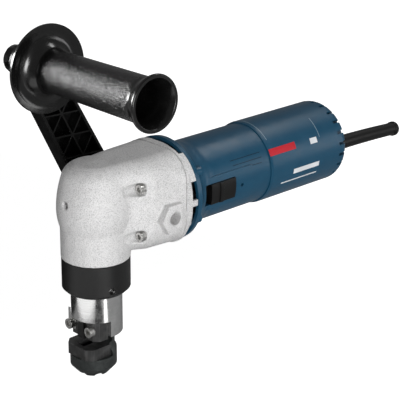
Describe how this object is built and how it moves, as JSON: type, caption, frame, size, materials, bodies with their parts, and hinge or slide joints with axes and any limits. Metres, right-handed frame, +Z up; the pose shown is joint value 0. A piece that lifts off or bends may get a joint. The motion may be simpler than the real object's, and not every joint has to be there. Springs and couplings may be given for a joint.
{
  "type": "nibbler",
  "caption": "Hand-held electric sheet-metal nibbler with a right-angle gear head, turning die head, motor grip and a swivelling side handle.",
  "frame": {"origin": "on the flat underside of the die, on the axis of the punch head", "axes": "+Z up along the punch axis, +X along the motor axis from the head towards the cord, -Y is the switch side"},
  "size_m": [0.4477, 0.1752, 0.3014],
  "materials": {
    "cast_alloy": "fine sand-cast grain, bead blasted",
    "blue_plastic": "fine spark-eroded texture",
    "black_plastic": "pebbled grip, satin elsewhere",
    "switch_plastic": "satin",
    "inner_plastic": "plain moulded",
    "rubber_black": "smooth",
    "black_oxide": "black oxide steel",
    "bright_steel": "ground and turned",
    "tool_steel": "hardened, ground",
    "dark_steel": "phosphated forging",
    "screw_steel": "zinc plated",
    "gear_steel": "hobbed and hardened",
    "bearing_steel": "polished",
    "bronze": "sintered",
    "lamination": "stacked sheet",
    "copper": "enamelled wire",
    "carbon": "pressed graphite"
  },
  "bodies": {
    "tool_body": {"gear_housing": "cast_alloy", "bearing_flange": "cast_alloy", "housing_screws": "screw_steel", "ram_bush_upper": "bronze", "ram_bush_lower": "bronze", "crank_bearing": "bearing_steel", "bearing_spacer": "gear_steel", "gear_plate": "cast_alloy", "crank_rear_bush": "bronze", "countershaft_front_bush": "bronze", "countershaft_rear_bush": "bronze", "front_motor_bearing": "bearing_steel", "rear_motor_bearing": "bearing_steel", "stator_core": "lamination", "field_coils": "copper", "brush_holders": "bronze", "carbon_brushes": "carbon", "brush_springs": "screw_steel", "motor_housing": "blue_plastic", "air_baffle": "inner_plastic", "rear_cover": "blue_plastic", "rear_cover_screws": "screw_steel", "rear_bearing_plate": "inner_plastic", "switch_module": "inner_plastic", "interference_capacitor": "inner_plastic", "cord_guard": "rubber_black", "cord_clamp": "inner_plastic", "cord_saddle": "inner_plastic", "cord_clamp_screws": "screw_steel", "bracket_washer": "screw_steel", "bracket_bolt": "screw_steel"},
    "armature": {"armature_shaft": "gear_steel", "armature_core": "lamination", "armature_windings": "copper", "commutator": "copper", "cooling_fan": "inner_plastic"},
    "countershaft_set": {"countershaft": "gear_steel", "countershaft_gear": "gear_steel"},
    "crank": {"eccentric_shaft": "gear_steel", "final_gear": "gear_steel"},
    "crank_block": {"sliding_block": "bronze"},
    "ram_set": {"ram": "bright_steel", "punch_collar": "tool_steel"},
    "punch_blade": {"punch": "black_oxide"},
    "lock_nut": {"lock_ring": "black_oxide"},
    "die_head": {"die_carrier": "bright_steel", "punch_guides": "tool_steel", "guide_screws": "screw_steel", "lock_tab": "bright_steel", "die_grub_screw": "black_oxide", "die_shoe": "dark_steel", "die_insert": "tool_steel", "die_insert_screws": "black_oxide"},
    "handle": {"handle_bracket": "black_plastic", "handle_grip": "black_plastic", "grip_bolt": "screw_steel"},
    "knob": {"clamp_knob": "black_plastic"},
    "switch": {"switch_slider": "switch_plastic", "switch_link": "inner_plastic"}
  },
  "joints": [
    {"name": "armature_turn", "type": "hinge", "parent": "tool_body", "child": "armature", "pos_m": [0.1, 0, 0.147], "axis": [1, 0, 0], "range_deg": [0, 2448]},
    {"name": "countershaft_turn", "type": "hinge", "parent": "tool_body", "child": "countershaft_set", "pos_m": [0.05, 0.00887, 0.16603], "axis": [1, 0, 0], "range_deg": [-576.1, 0]},
    {"name": "crank_turn", "type": "hinge", "parent": "tool_body", "child": "crank", "pos_m": [0.02, 0, 0.147], "axis": [1, 0, 0], "range_deg": [0, 180.05]},
    {"name": "block_turn", "type": "hinge", "parent": "crank", "child": "crank_block", "pos_m": [0, 0, 0.1505], "axis": [1, 0, 0], "range_deg": [-180.05, 0]},
    {"name": "ram_stroke", "type": "slide", "parent": "tool_body", "child": "ram_set", "axis": [0, 0, 1], "range_m": [-0.007, 0]},
    {"name": "die_head_swivel", "type": "hinge", "parent": "tool_body", "child": "die_head", "pos_m": [0, 0, 0.08], "axis": [0, 0, 1], "range_deg": [-180, 180]},
    {"name": "punch_swivel", "type": "hinge", "parent": "ram_set", "child": "punch_blade", "pos_m": [0, 0, 0.07], "axis": [0, 0, 1], "range_deg": [-180, 180]},
    {"name": "lock_ring_turn", "type": "hinge", "parent": "tool_body", "child": "lock_nut", "pos_m": [0, 0, 0.09], "axis": [0, 0, 1], "range_deg": [0, 90]},
    {"name": "handle_swivel", "type": "hinge", "parent": "tool_body", "child": "handle", "pos_m": [0.0475, 0.055, 0.1394], "axis": [0, 1, 0], "range_deg": [-65, 62]},
    {"name": "knob_turn", "type": "hinge", "parent": "handle", "child": "knob", "pos_m": [-0.019, 0.07, 0.2642], "axis": [0, 1, 0], "range_deg": [0, 180]},
    {"name": "switch_slide", "type": "slide", "parent": "tool_body", "child": "switch", "axis": [-1, 0, 0], "range_m": [0, 0.006], "stiffness_N_per_m": 300}
  ],
  "couplings": [
    {"joint": "countershaft_turn", "follows": "armature_turn", "ratio": -0.23529},
    {"joint": "crank_turn", "follows": "armature_turn", "ratio": 0.073529},
    {"joint": "block_turn", "follows": "armature_turn", "ratio": -0.073529},
    {"joint": "ram_stroke", "follows": "armature_turn", "m_per_rad": -0.00016384},
    {"joint": "punch_swivel", "follows": "die_head_swivel", "ratio": 1}
  ]
}
